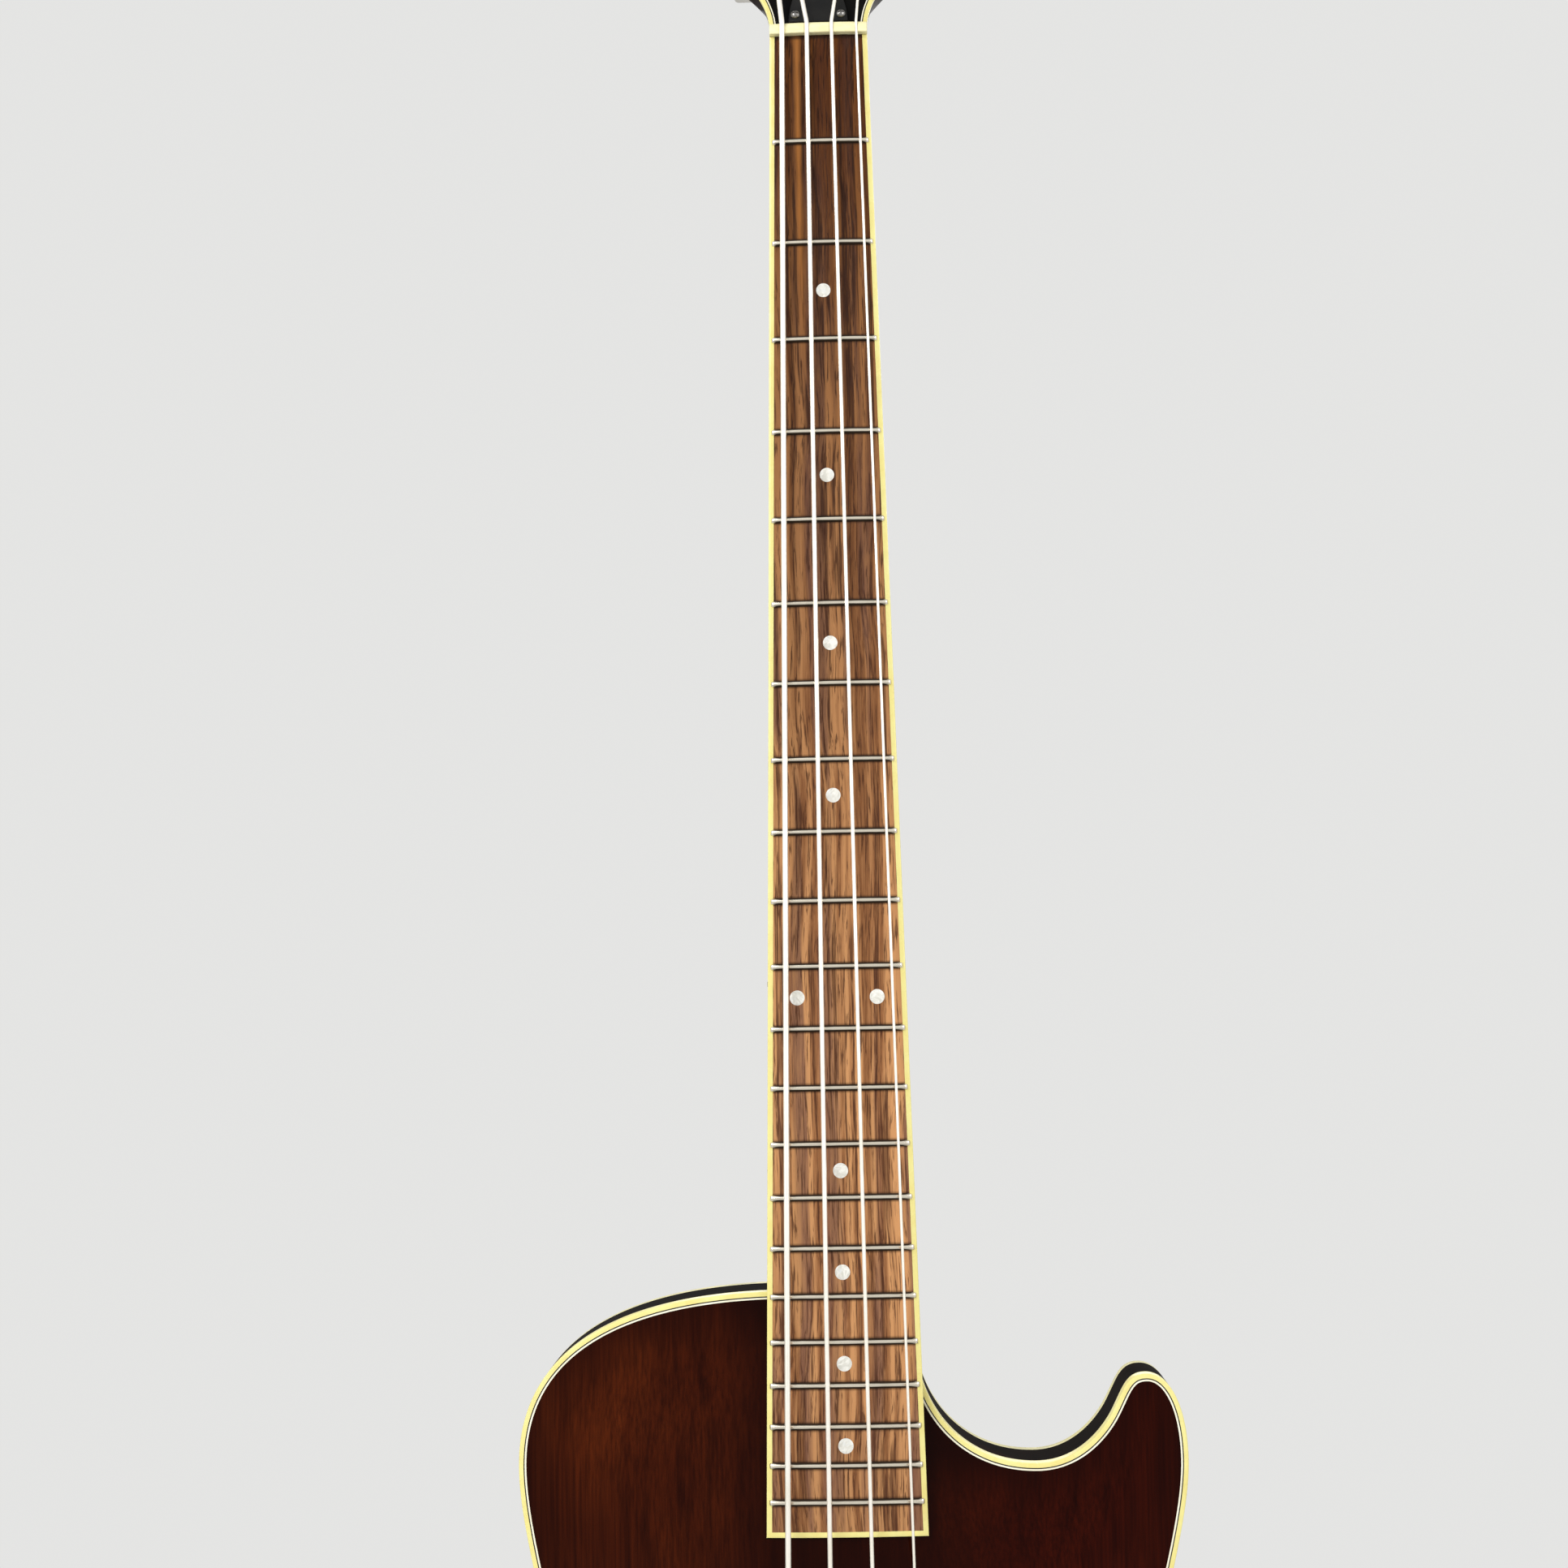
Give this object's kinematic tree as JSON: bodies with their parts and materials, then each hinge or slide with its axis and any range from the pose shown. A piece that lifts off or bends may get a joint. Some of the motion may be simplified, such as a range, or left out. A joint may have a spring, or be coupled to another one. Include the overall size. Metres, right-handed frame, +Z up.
{
  "type": "bass guitar",
  "caption": "Hollow-body electric bass guitar with a bound arched top, one cutaway, geared tuners, a floating bridge and a trapeze tailpiece.",
  "frame": {"origin": "on the neck's centre line, on the fingerboard's playing face, at the nut's edge towards the body; a wall hanger's yoke holds the head just above it", "axes": "+Z up the neck as the instrument hangs, -Y out of the front, +X towards the treble side"},
  "size_m": [0.3504, 0.1397, 1.1683],
  "materials": {
    "top_lacquer": "gloss lacquer, transparent dark red-brown",
    "dark_lacquer": "gloss lacquer, nearly black",
    "neck_lacquer": "gloss lacquer, very dark brown",
    "black_gloss": "polished black",
    "black_plastic": "satin black",
    "cream_binding": "polished cream-yellow",
    "bone_nut": "polished bone",
    "rosewood": "oiled, open-pored",
    "nickel": "polished nickel plate",
    "dark_steel": "drawn steel",
    "string_wire": "flat-wound steel",
    "amber_knob": "polished amber"
  },
  "bodies": {
    "instrument": {"back_binding": "cream_binding", "body_back": "dark_lacquer", "body_sides": "dark_lacquer", "body_top": "top_lacquer", "fingerboard": "rosewood", "fingerboard_binding": "cream_binding", "fret_01": "nickel", "fret_02": "nickel", "fret_03": "nickel", "fret_04": "nickel", "fret_05": "nickel", "fret_06": "nickel", "fret_07": "nickel", "fret_08": "nickel", "fret_09": "nickel", "fret_10": "nickel", "fret_11": "nickel", "fret_12": "nickel", "fret_13": "nickel", "fret_14": "nickel", "fret_15": "nickel", "fret_16": "nickel", "fret_17": "nickel", "fret_18": "nickel", "fret_19": "nickel", "fret_20": "nickel", "fret_21": "nickel", "fret_22": "nickel", "neck": "neck_lacquer", "nut": "bone_nut", "output_jack": "nickel", "pickup_ring": "black_plastic", "string_a": "string_wire", "string_d": "string_wire", "string_e": "string_wire", "string_g": "string_wire", "tailpiece": "nickel", "top_binding": "cream_binding", "truss_rod": "dark_steel", "truss_rod_cover": "black_gloss", "tuner_housing_bass": "nickel", "tuner_housing_treble": "nickel"},
    "key_e": {"tuner_key_e": "nickel"},
    "key_a": {"tuner_key_a": "nickel"},
    "key_d": {"tuner_key_d": "nickel"},
    "key_g": {"tuner_key_g": "nickel"},
    "post_e": {"tuner_post_e": "nickel"},
    "post_a": {"tuner_post_a": "nickel"},
    "post_d": {"tuner_post_d": "nickel"},
    "post_g": {"tuner_post_g": "nickel"},
    "bridge": {"bridge_base": "nickel", "bridge_post_bass": "nickel", "bridge_post_treble": "nickel"},
    "saddle_e": {"saddle_e": "nickel"},
    "saddle_a": {"saddle_a": "nickel"},
    "saddle_d": {"saddle_d": "nickel"},
    "saddle_g": {"saddle_g": "nickel"},
    "pickup": {"pickup": "nickel"},
    "knob_volume": {"knob_volume": "amber_knob"},
    "knob_tone": {"knob_tone": "amber_knob"}
  },
  "joints": [
    {"name": "key_e_turn", "type": "hinge", "parent": "instrument", "child": "key_e", "pos_m": [-0.0265, 0.04221, 0.05418], "axis": [-1, 0, 0], "continuous": true},
    {"name": "key_a_turn", "type": "hinge", "parent": "instrument", "child": "key_a", "pos_m": [-0.0285, 0.0593, 0.11378], "axis": [-1, 0, 0], "continuous": true},
    {"name": "key_d_turn", "type": "hinge", "parent": "instrument", "child": "key_d", "pos_m": [0.0285, 0.0593, 0.11378], "axis": [1, 0, 0], "continuous": true},
    {"name": "key_g_turn", "type": "hinge", "parent": "instrument", "child": "key_g", "pos_m": [0.0265, 0.04221, 0.05418], "axis": [1, 0, 0], "continuous": true},
    {"name": "post_e_turn", "type": "hinge", "parent": "instrument", "child": "post_e", "pos_m": [-0.0265, 0.01756, 0.04949], "axis": [0, -0.9613, 0.2756], "continuous": true, "deforming": ["string_e"]},
    {"name": "post_a_turn", "type": "hinge", "parent": "instrument", "child": "post_a", "pos_m": [-0.0285, 0.03465, 0.10909], "axis": [0, -0.9613, 0.2756], "continuous": true, "deforming": ["string_a"]},
    {"name": "post_d_turn", "type": "hinge", "parent": "instrument", "child": "post_d", "pos_m": [0.0285, 0.03465, 0.10909], "axis": [0, -0.9613, 0.2756], "continuous": true, "deforming": ["string_d"]},
    {"name": "post_g_turn", "type": "hinge", "parent": "instrument", "child": "post_g", "pos_m": [0.0265, 0.01756, 0.04949], "axis": [0, -0.9613, 0.2756], "continuous": true, "deforming": ["string_g"]},
    {"name": "bridge_height", "type": "slide", "parent": "instrument", "child": "bridge", "axis": [0, -1, 0], "range_m": [-0.003, 0.002]},
    {"name": "saddle_e_intonation", "type": "slide", "parent": "bridge", "child": "saddle_e", "axis": [0, 0, 1], "range_m": [-0.004, 0.004]},
    {"name": "saddle_a_intonation", "type": "slide", "parent": "bridge", "child": "saddle_a", "axis": [0, 0, 1], "range_m": [-0.004, 0.004]},
    {"name": "saddle_d_intonation", "type": "slide", "parent": "bridge", "child": "saddle_d", "axis": [0, 0, 1], "range_m": [-0.004, 0.004]},
    {"name": "saddle_g_intonation", "type": "slide", "parent": "bridge", "child": "saddle_g", "axis": [0, 0, 1], "range_m": [-0.004, 0.004]},
    {"name": "pickup_height", "type": "slide", "parent": "instrument", "child": "pickup", "axis": [0, -0.9976, 0.0698], "range_m": [-0.003, 0.0015]},
    {"name": "volume_turn", "type": "hinge", "parent": "instrument", "child": "knob_volume", "pos_m": [0.1, -0.04187, -0.89015], "axis": [0.1088, -0.989, -0.1004], "range_deg": [0, 300]},
    {"name": "tone_turn", "type": "hinge", "parent": "instrument", "child": "knob_tone", "pos_m": [0.134, -0.03722, -0.87415], "axis": [0.2287, -0.9721, -0.0531], "range_deg": [0, 300]}
  ],
  "couplings": [
    {"joint": "post_e_turn", "follows": "key_e_turn", "ratio": 0.05},
    {"joint": "post_a_turn", "follows": "key_a_turn", "ratio": 0.05},
    {"joint": "post_d_turn", "follows": "key_d_turn", "ratio": -0.05},
    {"joint": "post_g_turn", "follows": "key_g_turn", "ratio": -0.05}
  ]
}
